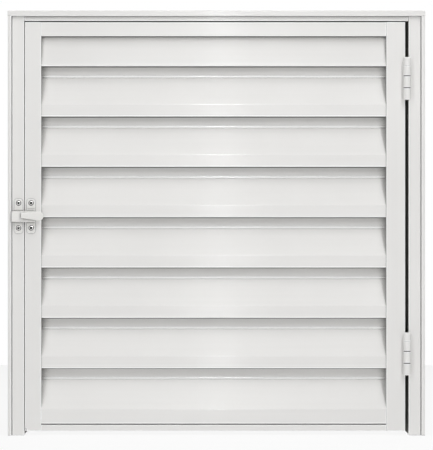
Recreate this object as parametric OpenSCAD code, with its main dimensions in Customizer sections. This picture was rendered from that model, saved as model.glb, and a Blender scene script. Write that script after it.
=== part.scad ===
// Louvred access door in its own three-sided frame, all in coated aluminium.
// X runs to the right, Y runs from the front to the back and Z runs up, in millimetres.
// The origin is the middle of the overall box in X and Y, level with the frame's feet.

/* [Frame] */
// Width over the two jambs
frame_w = 589; // [450:1:900]
// Height from the jambs' feet to the top of the head
frame_h = 600; // [450:1:1200]
// Depth of the frame behind its front face
frame_depth = 35; // [33:0.5:60]
// Width of a jamb, seen from the front
jamb_w = 23; // [21:0.5:35]
// How far the outer lip stands in front of the face
lip_proud = 5; // [3:0.5:8]
// Width of the outer lip on a jamb
lip_w = 5; // [4.5:0.5:7]
// Height of the lip along the head
head_lip_h = 7.7; // [6:0.1:12]
// Height of the recessed face below the head's lip
head_face_h = 7; // [5:0.5:15]
// How far the head passes the jambs at each end
head_overhang = 0.5; // [0:0.1:2]
// Wall thickness of the frame's extrusions
frame_wall = 1.5; // [1.2:0.1:1.8]
// Width of the shadow groove beside the lip
groove_w = 1; // [0.6:0.1:1.5]
// Depth of the shadow groove
groove_deep = 1.2; // [0.5:0.1:2]
// Reach of the stop behind the leaf
stop_reach = 12; // [8:0.5:16]
// Thickness of the black seal on the stop
seal_t = 3; // [2:0.1:4]
// Distance between the two fixing holes in a jamb
fixing_spacing = 300; // [200:5:320]
// Radius of a fixing hole
fixing_r = 2.6; // [2:0.1:3.5]
// Radius of the access hole in front of a fixing hole
access_r = 5; // [4.5:0.1:6]

/* [Door leaf] */
// Depth of the leaf
door_depth = 24; // [22:0.5:26]
// Width of the stile on the latch's side
latch_stile_w = 23.2; // [22:0.1:35]
// Width of the stile on the hinges' side
hinge_stile_w = 26.6; // [22:0.1:35]
// Height of the top rail
top_rail_h = 19.8; // [14:0.1:40]
// Height of the bottom rail
bottom_rail_h = 9; // [9:0.5:30]
// Wall thickness of the leaf's tubes
tube_wall = 1.4; // [1.2:0.1:1.6]
// Gap between the head and the leaf
head_gap = 1.5; // [1:0.1:3]
// Gap between the latch jamb and the leaf
latch_gap = 0.6; // [0.4:0.1:3]
// How far the leaf's foot lies above the jambs' feet
foot_gap = 6; // [3:0.1:15]
// How far the latch stile's edge is bevelled, so that it swings clear of the jamb
edge_bevel = 0.8; // [0.6:0.1:1.5]

/* [Louvre slats] */
// Number of slats, the plain one at the top included
slat_count = 8; // [4:1:9]
// Thickness of a slat
slat_wall = 1.2; // [1:0.1:1.5]
// Height of the plain slat under the top rail
top_slat_h = 42.3; // [30:0.1:60]
// Height of a slat's upright nose
nose_h = 17; // [12:0.5:20]
// Height of the last slat's nose
last_nose_h = 20.5; // [12:0.5:24]
// How much taller the last slat is than the ones above it
last_extra = 7.3; // [0:0.1:12]
// How far a slat's nose lies behind the leaf's face
nose_setback = 2; // [1:0.1:4]
// How far the last slat's nose lies behind the leaf's face
last_setback = 0.3; // [0:0.1:2]
// Depth of the upstand's front behind the leaf's face
upstand_deep = 18.3; // [14:0.1:19]
// Height of the upstand that shows below the next nose
upstand_show = 16.4; // [12:0.1:20]
// How far the upstand rises behind the next nose
upstand_lap = 8; // [4:0.5:12]
// Depth of the flange that returns under a nose
nose_return = 6; // [4:0.5:8]
// Depth from the plain top slat's nose to its upright strip
top_slat_run = 8.5; // [5:0.5:12]
// Height of the plain top slat's upright strip under the top rail
top_strip_h = 6; // [3:0.5:10]
// Gap between the last slat and the bottom rail
last_gap = 1.2; // [1:0.1:4]
// How far a slat's end passes through the stile's wall
tenon_reach = 2.6; // [2:0.1:5]

/* [Hinges] */
// Diameter of the barrel
barrel_d = 10.2; // [10:0.1:13]
// Diameter of the pin
pin_d = 5; // [4:0.1:6]
// Thickness of a leaf plate
leaf_t = 2; // [1.8:0.1:2.5]
// Depth of a leaf plate behind the door's face
leaf_deep = 20; // [16:0.5:22]
// Gap between the two leaf plates
leaf_gap = 0.8; // [0.5:0.1:2]
// Height of the cap on top of the pin
cap_h = 12.2; // [8:0.1:16]
// Height of the upper knuckle
upper_knuckle_h = 13.2; // [10:0.1:20]
// Height of the middle knuckle
middle_knuckle_h = 15.6; // [14:0.1:24]
// Height of the lower knuckle
lower_knuckle_h = 16.4; // [12:0.1:24]
// Thickness of the black bushes' flanges
flange_t = 1.2; // [0.6:0.1:1.5]
// Distance from the leaf's top down to the upper hinge
upper_hinge_drop = 49.5; // [40:0.1:80]
// Distance from the leaf's foot up to the lower hinge
lower_hinge_rise = 79.1; // [40:0.1:85]

/* [Latch] */
// Height of the latch plates' middle above the jambs' feet
latch_z = 309.8; // [220:0.1:380]
// Width of the keeper's plate and of the latch's plate
latch_plate_w = 11.5; // [11:0.1:14]
// Height of both plates
latch_plate_h = 48.7; // [44:0.1:60]
// Thickness of both plates
latch_plate_t = 1.6; // [1.4:0.1:2]
// Distance between the two screws in a plate
latch_screw_spacing = 35.2; // [32:0.1:38]
// How far the screws' middle lies above the plates' middle
latch_screw_rise = 0.8; // [0:0.1:1.5]
// Distance from the jamb's inner edge to the keeper plate's centre
keeper_inset = 8; // [7:0.1:8.5]
// Distance from the stile's outer edge to the latch plate's centre
latch_inset = 9.1; // [9:0.1:11]
// Height of the hollow bar and of the keeper's block
bar_h = 15.5; // [15:0.1:18]
// How far the bar lies below the plates' middle
bar_drop = 0.7; // [0:0.1:2]
// How far the bar stands in front of the faces
bar_front = 9.2; // [9:0.1:11]
// How far the bar passes the stile's outer edge
bar_overhang = 5.85; // [4.5:0.05:6.2]
// Width of the keeper's block
block_w = 12.1; // [11.5:0.1:12.2]
// Height of the flat bolt
bolt_h = 8.4; // [7:0.1:8.6]
// Length of the flat bolt
bolt_len = 17.4; // [16:0.1:18]
// Thickness of the flat bolt
bolt_t = 4.1; // [3.6:0.1:4.2]
// Travel of the bolt into the keeper
bolt_travel = 9; // [7:0.1:9.2]
// Length of the thumb grip
grip_len = 32.3; // [28:0.1:40]
// Height of the grip at its round end
grip_round_d = 13.2; // [10:0.1:14]
// Height of the grip at its narrow end
grip_narrow_h = 8.2; // [6:0.1:10]
// How far the grip's round end lies above the bar's middle
grip_round_rise = 0.7; // [0:0.1:2]
// How far the grip's narrow end lies above the bar's middle
grip_narrow_rise = 1.7; // [0:0.1:3]
// Thickness of the grip
grip_t = 5; // [4:0.1:6]

/* [Hidden] */

// Clearances
slot_clear = 0.15;
soft_clear = 0.3;
face_clear = 0.6;
run_clear = 0.05;
press_clear = 0.02;
join_gap = 0.3;
bolt_clear = 0.2;
// How far a cut passes its shape, and how far two shapes that touch run into each other
over = 1;
touch = 0.01;

// Facets on a rounded edge of an extrusion
edge_facets = 4;
edge_r = 0.9;
$fn = 48;

// Places across the width
jamb_in = frame_w / 2 - jamb_w;
hinge_gap = 2 * leaf_t + leaf_gap;
leaf_left = -jamb_in + latch_gap;
leaf_right = jamb_in - hinge_gap;
open_left = leaf_left + latch_stile_w;
open_right = leaf_right - hinge_stile_w;
open_w = open_right - open_left;
axis_x = jamb_in - hinge_gap / 2;

// Places up the height
head_h = head_lip_h + head_face_h;
head_bottom = frame_h - head_h;
jamb_h = frame_h - head_lip_h;
leaf_foot = foot_gap;
leaf_top = head_bottom - head_gap;
open_top = leaf_top - top_rail_h;
open_foot = leaf_foot + bottom_rail_h;
open_h = open_top - open_foot;

// Places from front to back: the faces are at 0 and the box is centred on the origin
grip_back = bar_front + join_gap;
reach_front = grip_back + grip_t;
face_y = (reach_front - frame_depth) / 2;
stop_y = door_depth + soft_clear + seal_t;
barrel_r = barrel_d / 2;
axis_y = -barrel_r - face_clear;

// Slats: their pitch follows from their number
slat_run_h = open_h - top_slat_h - last_gap;
slat_pitch = (slat_run_h - last_extra) / (slat_count - 1);
slope_h = slat_pitch - nose_h - upstand_show;
last_slope_h = slat_pitch + last_extra - last_nose_h - upstand_show;
slat_half = slat_wall / 2;
slat_end = tube_wall + tenon_reach;
tenon_front = tube_wall + join_gap;
bead_r = 0.9;
bend_r = 1.6;
hook_h = 4;

// Every sub-part's name
HINGE_SIDES = ["upper", "lower"];
HINGE_PARTS = [
    "frame_leaf", "door_leaf", "pin", "cap",
    "top_bush", "bottom_bush", "frame_screws", "door_screws"
];

// Rounded outlines. A corner is [x, y, radius].
function unit(v) = v / norm(v);
function turned(v, a) = [v.x * cos(a) - v.y * sin(a), v.x * sin(a) + v.y * cos(a)];
function flat(p) = [p.x, p.y];
function between(a, b) = acos(max(-1, min(1, a * b)));
function corner(p, to_a, to_b, r) =
    let (half = between(to_a, to_b) / 2, middle = p + unit(to_a + to_b) * r / sin(half),
        first = p + to_a * r / tan(half) - middle, last = p + to_b * r / tan(half) - middle,
        way = first.x * last.y - first.y * last.x > 0 ? 1 : -1, sweep = 180 - 2 * half)
    [for (k = [0:edge_facets]) middle + turned(first, way * sweep * k / edge_facets)];
function rounded(p) = [
    for (i = [0:len(p) - 1])
    let (a = flat(p[(i + len(p) - 1) % len(p)]), c = flat(p[i]), b = flat(p[(i + 1) % len(p)]))
    each (p[i][2] > 0 ? corner(c, unit(a - c), unit(b - c), p[i][2]) : [c])
];
function rounded_path(p) = [
    for (i = [0:len(p) - 1])
    each (i > 0 && i < len(p) - 1 && p[i][2] > 0
        ? corner(flat(p[i]), unit(flat(p[i - 1] - p[i])), unit(flat(p[i + 1] - p[i])), p[i][2])
        : [flat(p[i])])
];
function box_outline(w, h, r) = rounded([[0, 0, r], [w, 0, r], [w, h, r], [0, h, r]]);
function shifted(p, dx, dy) = [for (q = p) q + [dx, dy]];

// A bent sheet's outline: its middle line, thickened by half on each side and grown at its ends
function side_of(p, i) =
    let (back = i > 0 ? unit(p[i] - p[i - 1]) : unit(p[1] - p[0]),
        ahead = i < len(p) - 1 ? unit(p[i + 1] - p[i]) : back,
        mean = unit(back + ahead), straight = mean * ahead)
    turned(mean, 90) / straight;
function grown(p, g) = [
    for (i = [0:len(p) - 1])
    i == 0 ? p[0] - unit(p[1] - p[0]) * g :
    i == len(p) - 1 ? p[i] + unit(p[i] - p[i - 1]) * g : p[i]
];
function sheet(path, half) =
    let (p = grown(path, half - slat_half), n = len(p))
    concat([for (i = [0:n - 1]) p[i] + side_of(p, i) * half],
        [for (i = [n - 1:-1:0]) p[i] - side_of(p, i) * half]);

// Common shapes. at_face works from the plane of the frame's and the leaf's faces.
module at_face() {
    translate([0, face_y, 0]) children();
}
// An outline in X and Y, drawn upwards
module upright(outline, low, high) {
    translate([0, 0, low]) linear_extrude(high - low) polygon(outline);
}
// An outline in Y and Z, drawn along X
module along(outline, left, right) {
    translate([left, 0, 0]) rotate([90, 0, 90]) linear_extrude(right - left) polygon(outline);
}
module rod_x(left, right, r) {
    translate([left, 0, 0]) rotate([0, 90, 0]) cylinder(h = right - left, r = r);
}
module rod_y(front, back, r) {
    translate([0, front, 0]) rotate([-90, 0, 0]) cylinder(h = back - front, r = r);
}

// Screws. A screw points along +Z, and the top of its head is at 0.
screw_r = 1.55;
screw_hole_r = 1.6;
screw_clear_r = 1.85;
sink_r = 3.8;
sink_h = 1.5;
pan_r = 3.4;
pan_flat_r = 2.7;
pan_slope_h = 0.7;
pan_h = 2.2;
dome_r = 3.7;
dome_h = 0.5;
cross_w = 1;
cross_long = 4.2;
cross_deep = 1.3;
module cross_recess() {
    translate([0, 0, cross_deep / 2 - over / 2]) {
        cube([cross_long, cross_w, cross_deep + over], center = true);
        cube([cross_w, cross_long, cross_deep + over], center = true);
    }
}
module sunk_screw(length) {
    difference() {
        union() {
            cylinder(h = sink_h, r1 = sink_r, r2 = screw_r);
            cylinder(h = length, r = screw_r);
        }
        cross_recess();
    }
}
// A countersunk screw whose head is slightly domed in front of the plate
module raised_screw(length) {
    ball_r = (dome_r * dome_r + dome_h * dome_h) / (2 * dome_h);
    difference() {
        union() {
            cylinder(h = sink_h, r1 = sink_r, r2 = screw_r);
            cylinder(h = length, r = screw_r);
            intersection() {
                translate([0, 0, ball_r - dome_h]) sphere(r = ball_r, $fn = 96);
                translate([0, 0, -dome_h]) cylinder(h = dome_h + touch, r = sink_r);
            }
        }
        translate([0, 0, -dome_h]) cross_recess();
    }
}
module pan_screw(length) {
    difference() {
        union() {
            cylinder(h = pan_slope_h, r1 = pan_flat_r, r2 = pan_r);
            translate([0, 0, pan_slope_h]) cylinder(h = pan_h - pan_slope_h, r = pan_r);
            cylinder(h = length, r = screw_r);
        }
        cross_recess();
    }
}
// The hole that a countersunk head sits in
module sink_hole(t) {
    translate([0, 0, -over]) cylinder(h = t + 2 * over, r = screw_clear_r);
    cylinder(h = sink_h, r1 = sink_r + run_clear, r2 = screw_r + run_clear);
    translate([0, 0, -over]) cylinder(h = over + touch, r = sink_r + run_clear);
}

// Frame. A jamb's section runs from its inner face at 0 to its outer face.
port_out = 3.4;
port_in = screw_hole_r;
port_front = 8;
port_back = 29;
port_lap = 0.8;
port_u = jamb_w - frame_wall - port_out + port_lap;
stop_t = 1.5;
lip_u = jamb_w - lip_w;
lip_r = 1;
groove_u = lip_u - groove_w;
groove_r = 0.3;
groove_floor = groove_deep + frame_wall;
jamb_outline = rounded([
    [0, 0, edge_r], [groove_u, 0, groove_r], [groove_u, groove_deep, 0], [lip_u, groove_deep, 0],
    [lip_u, -lip_proud, lip_r], [jamb_w, -lip_proud, lip_r], [jamb_w, frame_depth, edge_r],
    [0, frame_depth, edge_r]
]);
jamb_hollow = [
    [frame_wall, frame_wall], [groove_u - frame_wall, frame_wall],
    [groove_u - frame_wall, groove_floor], [lip_u + frame_wall, groove_floor],
    [lip_u + frame_wall, frame_wall - lip_proud], [jamb_w - frame_wall, frame_wall - lip_proud],
    [jamb_w - frame_wall, frame_depth - frame_wall], [frame_wall, frame_depth - frame_wall]
];
skew_foot = 1.5;
corner_screw_x = jamb_in + port_u;
corner_screw_len = 26;
fixing_y = 18;

module port(z_low, z_high, y) {
    translate([port_u, y, z_low]) difference() {
        cylinder(h = z_high - z_low, r = port_out);
        translate([0, 0, -over]) cylinder(h = z_high - z_low + 2 * over, r = port_in);
    }
}
// The stop behind the leaf and the seal on it share this outline, cut on the skew at the foot
module skewed_strip(y_front, y_back, reach, top) {
    translate([0, y_back, 0]) rotate([90, 0, 0]) linear_extrude(y_back - y_front)
        polygon([[0, skew_foot], [0, top], [-reach, top], [-reach, skew_foot + reach]]);
}
module jamb_shape() {
    difference() {
        union() {
            difference() {
                upright(jamb_outline, 0, jamb_h);
                upright(jamb_hollow, -over, jamb_h + over);
            }
            port(0, jamb_h, port_front);
            port(0, jamb_h, port_back);
            skewed_strip(stop_y, stop_y + stop_t, stop_reach, head_bottom);
            translate([-touch, stop_y, skew_foot])
                cube([frame_wall, stop_t, head_bottom - skew_foot]);
        }
        for (side = [-1, 1]) {
            translate([0, fixing_y, frame_h / 2 + side * fixing_spacing / 2]) {
                rod_x(frame_wall + over, jamb_w + over, fixing_r);
                rod_x(-over, frame_wall + over, access_r);
            }
        }
    }
}
module left_jamb() {
    color("gainsboro") at_face() difference() {
        mirror([1, 0, 0]) translate([jamb_in, 0, 0]) jamb_shape();
        for (z = latch_screw_z) {
            translate([keeper_x, 0, z]) rod_y(-over, frame_wall + over, screw_hole_r);
        }
    }
}
module right_jamb() {
    color("gainsboro") at_face() difference() {
        translate([jamb_in, 0, 0]) jamb_shape();
        for (base = hinge_bases, z = leaf_screw_z) {
            translate([0, leaf_screw_y, base + z])
                rod_x(jamb_in - over, jamb_in + frame_wall + over, screw_hole_r);
        }
    }
}

// Head: a full-length tube with the lip, and between the jambs a lower tube with a stop under it
skirt_lap = 0.5;
head_tube = rounded([
    [-lip_proud, jamb_h, lip_r], [frame_depth, jamb_h, edge_r],
    [frame_depth, frame_h, edge_r], [-lip_proud, frame_h, lip_r]
]);
head_hollow = [
    [frame_wall - lip_proud, jamb_h + frame_wall], [frame_depth - frame_wall, jamb_h + frame_wall],
    [frame_depth - frame_wall, frame_h - frame_wall], [frame_wall - lip_proud, frame_h - frame_wall]
];
head_skirt = rounded([
    [0, jamb_h + skirt_lap, 0], [0, head_bottom, edge_r],
    [frame_depth, head_bottom, edge_r], [frame_depth, jamb_h + skirt_lap, 0]
]);
skirt_hollow = [
    [frame_wall, head_bottom + frame_wall], [frame_depth - frame_wall, head_bottom + frame_wall],
    [frame_depth - frame_wall, jamb_h], [frame_wall, jamb_h]
];
module frame_head() {
    color("gainsboro") at_face() difference() {
        union() {
            difference() {
                along(head_tube, -frame_w / 2 - head_overhang, frame_w / 2 + head_overhang);
                along(head_hollow, -frame_w, frame_w);
            }
            difference() {
                along(head_skirt, join_gap - jamb_in, jamb_in - join_gap);
                along(skirt_hollow, -frame_w, frame_w);
            }
            translate([stop_reach - jamb_in, stop_y, head_bottom - stop_reach])
                cube([2 * (jamb_in - stop_reach), stop_t, stop_reach + frame_wall]);
        }
        for (side = [-1, 1], y = [port_front, port_back]) {
            translate([side * corner_screw_x, y, frame_h]) mirror([0, 0, 1])
                sink_hole(head_lip_h);
        }
    }
}
module corner_screws() {
    color("silver") at_face() for (side = [-1, 1], y = [port_front, port_back]) {
        translate([side * corner_screw_x, y, frame_h]) mirror([0, 0, 1])
            sunk_screw(corner_screw_len);
    }
}

// Seals
seal_front = door_depth + soft_clear;
module left_seal() {
    color("black") at_face() mirror([1, 0, 0]) translate([jamb_in, 0, 0])
        skewed_strip(seal_front, stop_y, stop_reach, head_bottom);
}
module right_seal() {
    color("black") at_face() translate([jamb_in, 0, 0])
        skewed_strip(seal_front, stop_y, stop_reach, head_bottom);
}
module head_seal() {
    color("black") at_face() translate([stop_reach - jamb_in, seal_front, head_bottom - stop_reach])
        cube([2 * (jamb_in - stop_reach), seal_t, stop_reach]);
}

// Leaf tubes
rail_port_out = 3.3;
rail_port_in = 7.5;
rail_port_y = [rail_port_in, door_depth - rail_port_in];
rail_screw_clear_r = 2.05;
rail_access_r = 3.9;
rail_screw_len = 18;
rail_heights = [leaf_top - top_rail_h / 2, leaf_foot + bottom_rail_h / 2];
notch_w = 2.6;
notch_h = 4.5;
notch_deep = 3;
tube_depth = door_depth - 2 * tube_wall;
latch_outline = rounded([
    [0, 0, edge_r], [latch_stile_w, 0, edge_r],
    [latch_stile_w, door_depth, edge_r], [edge_bevel, door_depth, edge_r]
]);
latch_wall_w = edge_bevel + tube_wall;
latch_hollow = [
    [tube_wall, tube_wall], [latch_stile_w - tube_wall, tube_wall],
    [latch_stile_w - tube_wall, door_depth - tube_wall], [latch_wall_w, door_depth - tube_wall]
];
hinge_outline = box_outline(hinge_stile_w, door_depth, edge_r);
hinge_hollow_w = hinge_stile_w - 2 * tube_wall;
hinge_hollow = shifted(box_outline(hinge_hollow_w, tube_depth, 0), tube_wall, tube_wall);

// All that lies in front of a given depth. A stile's front wall stays whole there.
module front_of(left, right, y) {
    translate([left, -over, 0]) cube([right - left, over + y, leaf_top]);
}
// The slots that the slats' ends pass through, from one side of a stile's inner wall to the other
module slat_slots(left, right) {
    difference() {
        for (i = [1:slat_count]) {
            along(sheet(slat_path(i), slat_half + slot_clear), left, right);
        }
        front_of(left - over, right + over, tenon_front - slot_clear);
    }
}
module rail_holes(heights, left, right, r) {
    for (z = heights, y = rail_port_y) {
        translate([0, y, z]) rod_x(left, right, r);
    }
}
module latch_stile() {
    color("gainsboro") at_face() difference() {
        translate([leaf_left, 0, 0]) {
            difference() {
                upright(latch_outline, leaf_foot, leaf_top);
                upright(latch_hollow, leaf_foot - over, leaf_top + over);
                translate([-over, -over, leaf_foot - over])
                    cube([notch_w + over, notch_deep + over, notch_h + over]);
            }
        }
        slat_slots(open_left - tube_wall - over, open_left + over);
        rail_holes(rail_heights, open_left - tube_wall - over, open_left + over, rail_screw_clear_r);
        rail_holes(rail_heights, leaf_left - over, leaf_left + latch_wall_w + over, rail_access_r);
        for (z = latch_screw_z) {
            translate([latch_x, 0, z]) rod_y(-over, tube_wall + over, screw_hole_r);
        }
    }
}
module hinge_stile() {
    color("gainsboro") at_face() difference() {
        translate([open_right, 0, 0]) {
            difference() {
                upright(hinge_outline, leaf_foot, leaf_top);
                upright(hinge_hollow, leaf_foot - over, leaf_top + over);
            }
        }
        slat_slots(open_right - over, open_right + tube_wall + over);
        rail_holes(rail_heights, open_right - over, open_right + tube_wall + over, rail_screw_clear_r);
        rail_holes(rail_heights, leaf_right - tube_wall - over, leaf_right + over, rail_access_r);
        for (base = hinge_bases, z = leaf_screw_z) {
            translate([0, leaf_screw_y, base + z])
                rod_x(leaf_right - tube_wall - over, leaf_right + over, screw_hole_r);
        }
    }
}
// A screw port on a web from a rail's front wall
module rail_port() {
    translate([0, tube_wall / 2, -tube_wall / 2])
        cube([open_w, rail_port_in - tube_wall / 2, tube_wall]);
    translate([0, rail_port_in, 0]) rod_x(0, open_w, rail_port_out);
}
module rail(low, high) {
    middle = (low + high) / 2;
    hollow_h = high - low - 2 * tube_wall;
    difference() {
        union() {
            difference() {
                along(shifted(box_outline(door_depth, high - low, edge_r), 0, low), open_left, open_right);
                along(shifted(box_outline(tube_depth, hollow_h, 0), tube_wall, low + tube_wall),
                    open_left - over, open_right + over);
            }
            translate([open_left, 0, middle]) rail_port();
            translate([open_left, door_depth, middle]) mirror([0, 1, 0]) rail_port();
        }
        rail_holes([middle], open_left - over, open_right + over, screw_hole_r);
    }
}
module top_rail() {
    color("gainsboro") at_face() rail(open_top, leaf_top);
}
// A lip on the bottom rail rises behind the last slat's hook and keeps rain and light out
module bottom_rail() {
    color("gainsboro") at_face() {
        rail(leaf_foot, open_foot);
        translate([open_left, last_setback + nose_return + face_clear, open_foot - touch])
            cube([open_w, tube_wall, last_gap + hook_h + touch]);
    }
}
module rail_screws() {
    color("silver") at_face() for (z = rail_heights, y = rail_port_y) {
        translate([open_left - tube_wall - pan_h, y, z]) rotate([0, 90, 0])
            pan_screw(rail_screw_len);
        translate([open_right + tube_wall + pan_h, y, z]) rotate([0, -90, 0])
            pan_screw(rail_screw_len);
    }
}

// Slats. A path is a slat's middle line in Y and Z, from the hook under its nose to its upper end.
function slat_foot(i) =
    i < slat_count ? open_top - top_slat_h - (i - 1) * slat_pitch : open_foot + last_gap;
function slat_path(i) =
    i == 1 ? top_slat_path(slat_foot(1)) :
    i < slat_count ? nosed_path(slat_foot(i), nose_setback, nose_h, slope_h) :
    nosed_path(slat_foot(i), last_setback, last_nose_h, last_slope_h);
function foot_of_path(z, front) = [
    [front + nose_return - slat_half, z + hook_h, 0],
    [front + nose_return - slat_half, z + slat_half, bend_r / 2],
    [front + slat_half, z + slat_half, bend_r / 2]
];
function nosed_path(z, front, nose, slope) = rounded_path(concat(foot_of_path(z, front), [
    [front + slat_half, z + nose, bend_r],
    [upstand_deep + slat_half, z + nose + slope, bend_r / 2],
    [upstand_deep + slat_half, z + nose + slope + upstand_show + upstand_lap, 0]
]));
function top_slat_path(z) = rounded_path(concat(foot_of_path(z, nose_setback), [
    [nose_setback + top_slat_run + slat_half, open_top - top_strip_h, bend_r],
    [nose_setback + top_slat_run + slat_half, open_top - slat_half, bend_r / 2],
    [nose_setback + 2 * top_slat_run, open_top - slat_half, 0]
]));
module louvre_slat(i) {
    bead_z = slat_foot(i) + (i < slat_count ? nose_h + slope_h : last_nose_h + last_slope_h);
    left = open_left - slat_end;
    right = open_right + slat_end;
    color("gainsboro") at_face() {
        difference() {
            along(sheet(slat_path(i), slat_half), left, right);
            front_of(left - over, open_left + slot_clear, tenon_front);
            front_of(open_right - slot_clear, right + over, tenon_front);
        }
        if (i > 1) {
            translate([0, upstand_deep, bead_z]) rod_x(open_left, open_right, bead_r);
        }
    }
}

// Hinges. Each is drawn from its foot at 0, about its own axis.
cap_gap = 0.5;
middle_low = lower_knuckle_h + flange_t + 2 * run_clear;
middle_high = middle_low + middle_knuckle_h;
upper_low = middle_high + flange_t + 2 * run_clear;
upper_high = upper_low + upper_knuckle_h;
hinge_h = upper_high + cap_gap + cap_h;
hinge_bases = [leaf_top - upper_hinge_drop - hinge_h, leaf_foot + lower_hinge_rise];
pin_r = pin_d / 2;
pin_low = 3;
cap_solid_h = 5.2;
pin_end_gap = 0.4;
bush_wall = 1;
bush_r = pin_r + bush_wall;
sleeve_h = 6;
flange_inset = 0.3;
foot_round = 1.4;
cap_round = 2.4;
leaf_screw_y = 11;
leaf_screw_off = 14;
leaf_screw_z = [upper_high / 2 - leaf_screw_off, upper_high / 2 + leaf_screw_off];
leaf_screw_len = 9;

module at_hinge(base) {
    translate([axis_x, face_y + axis_y, base]) children();
}
module tube(low, high, r_out, r_in) {
    translate([0, 0, low]) difference() {
        cylinder(h = high - low, r = r_out);
        translate([0, 0, -over]) cylinder(h = high - low + 2 * over, r = r_in);
    }
}
// A length of barrel whose lower end is rounded by r
module barrel_end(high, r) {
    rotate_extrude() polygon(concat([[0, 0]],
        [for (k = [0:edge_facets]) let (a = 90 * k / edge_facets)
            [barrel_r - r + r * sin(a), r - r * cos(a)]],
        [[barrel_r, high], [0, high]]));
}
// A leaf plate on one side of the gap, with necks at the knuckles that it carries
module leaf_plate(side, necks) {
    x = side > 0 ? leaf_gap / 2 : -leaf_gap / 2 - leaf_t;
    difference() {
        union() {
            translate([x, -axis_y, 0]) cube([leaf_t, leaf_deep, upper_high]);
            for (n = necks) {
                translate([x, 0, n[0]]) cube([leaf_t, over - axis_y, n[1] - n[0]]);
            }
        }
        for (z = leaf_screw_z) {
            translate([side * leaf_gap / 2, leaf_screw_y - axis_y, z]) rotate([0, side * 90, 0])
                sink_hole(leaf_t);
        }
    }
}
module hinge_frame_leaf(base) {
    color("gainsboro") at_hinge(base) difference() {
        union() {
            leaf_plate(1, [[0, lower_knuckle_h], [upper_low, upper_high]]);
            barrel_end(lower_knuckle_h, foot_round);
            translate([0, 0, upper_low]) cylinder(h = upper_knuckle_h, r = barrel_r);
        }
        translate([0, 0, pin_low]) cylinder(h = upper_high, r = pin_r + press_clear);
    }
}
module hinge_door_leaf(base) {
    color("gainsboro") at_hinge(base) difference() {
        union() {
            leaf_plate(-1, [[middle_low, middle_high]]);
            translate([0, 0, middle_low]) cylinder(h = middle_knuckle_h, r = barrel_r);
        }
        translate([0, 0, middle_low - over])
            cylinder(h = middle_knuckle_h + 2 * over, r = bush_r + press_clear);
    }
}
module hinge_pin(base) {
    color("silver") at_hinge(base) translate([0, 0, pin_low])
        cylinder(h = hinge_h - cap_solid_h - pin_low, r = pin_r);
}
module hinge_cap(base) {
    color("gainsboro") at_hinge(base) translate([0, 0, hinge_h]) mirror([0, 0, 1]) difference() {
        barrel_end(cap_h, cap_round);
        translate([0, 0, cap_solid_h - pin_end_gap]) cylinder(h = cap_h, r = pin_r + press_clear);
    }
}
// A black bush: a sleeve in the middle knuckle and a flange between two knuckles
module bush() {
    tube(0, flange_t, barrel_r - flange_inset, pin_r + run_clear);
    tube(flange_t / 2, flange_t + sleeve_h, bush_r, pin_r + run_clear);
}
module hinge_top_bush(base) {
    color("black") at_hinge(base) translate([0, 0, middle_high + flange_t]) mirror([0, 0, 1]) bush();
}
module hinge_bottom_bush(base) {
    color("black") at_hinge(base) translate([0, 0, middle_low - flange_t]) bush();
}
module hinge_screws(base, side) {
    color("silver") at_hinge(base) for (z = leaf_screw_z) {
        translate([side * leaf_gap / 2, leaf_screw_y - axis_y, z]) rotate([0, side * 90, 0])
            sunk_screw(leaf_screw_len);
    }
}
module hinge_part(part, base) {
    if (part == "frame_leaf") hinge_frame_leaf(base);
    if (part == "door_leaf") hinge_door_leaf(base);
    if (part == "pin") hinge_pin(base);
    if (part == "cap") hinge_cap(base);
    if (part == "top_bush") hinge_top_bush(base);
    if (part == "bottom_bush") hinge_bottom_bush(base);
    if (part == "frame_screws") hinge_screws(base, 1);
    if (part == "door_screws") hinge_screws(base, -1);
}

// Latch
keeper_x = -jamb_in - keeper_inset;
latch_x = leaf_left + latch_inset;
latch_screw_mid = latch_z + latch_screw_rise;
latch_screw_z = [for (side = [-1, 1]) latch_screw_mid + side * latch_screw_spacing / 2];
latch_screw_len = 10;
plate_corner = 4.2;
plate_right = latch_x + latch_plate_w / 2;
bar_left = leaf_left - bar_overhang;
block_right = bar_left - join_gap;
block_left = block_right - block_w;
bar_z = latch_z - bar_drop;
bar_round = 2.2;
bar_wall = 1.5;
bar_gap = 0.5;
bar_lift = latch_plate_t + bar_gap;
bar_floor = 1.2;
ledge_h = 2.6;
ledge_deep = 2;
hollow_back = -bar_lift - bar_floor;
hollow_front = hollow_back - bolt_t - 2 * bolt_clear;
spring_room = 1.2;
hollow_top = bar_z + bolt_h / 2 + bolt_clear;
hollow_low = bar_z - bolt_h / 2 - spring_room;
tip_inset = 0.4;
bolt_tip = bar_left + tip_inset;
bolt_back = hollow_back - bolt_clear;
stem_w = 5;
stem_h = 3.6;
stem_x = bolt_tip + bolt_len - stem_w;
peg_r = 1.2;
peg_len = 2.5;
peg_end_gap = 0.3;
pocket_clear = 0.3;
pocket_room = 1;

// A plate with two countersunk holes, its back on the face
module latch_plate(x) {
    round_x = latch_plate_w / 2 - plate_corner;
    round_z = latch_plate_h / 2 - plate_corner;
    difference() {
        translate([x, 0, latch_z]) {
            translate([-latch_plate_w / 2, -latch_plate_t, -round_z])
                cube([latch_plate_w, latch_plate_t, 2 * round_z]);
            translate([-round_x, -latch_plate_t, -latch_plate_h / 2])
                cube([2 * round_x, latch_plate_t, latch_plate_h]);
            for (sx = [-1, 1], sz = [-1, 1]) {
                translate([sx * round_x, 0, sz * round_z]) rod_y(-latch_plate_t, 0, plate_corner);
            }
        }
        for (z = latch_screw_z) {
            translate([x, -latch_plate_t, z]) rotate([-90, 0, 0]) sink_hole(latch_plate_t);
        }
    }
}
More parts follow.
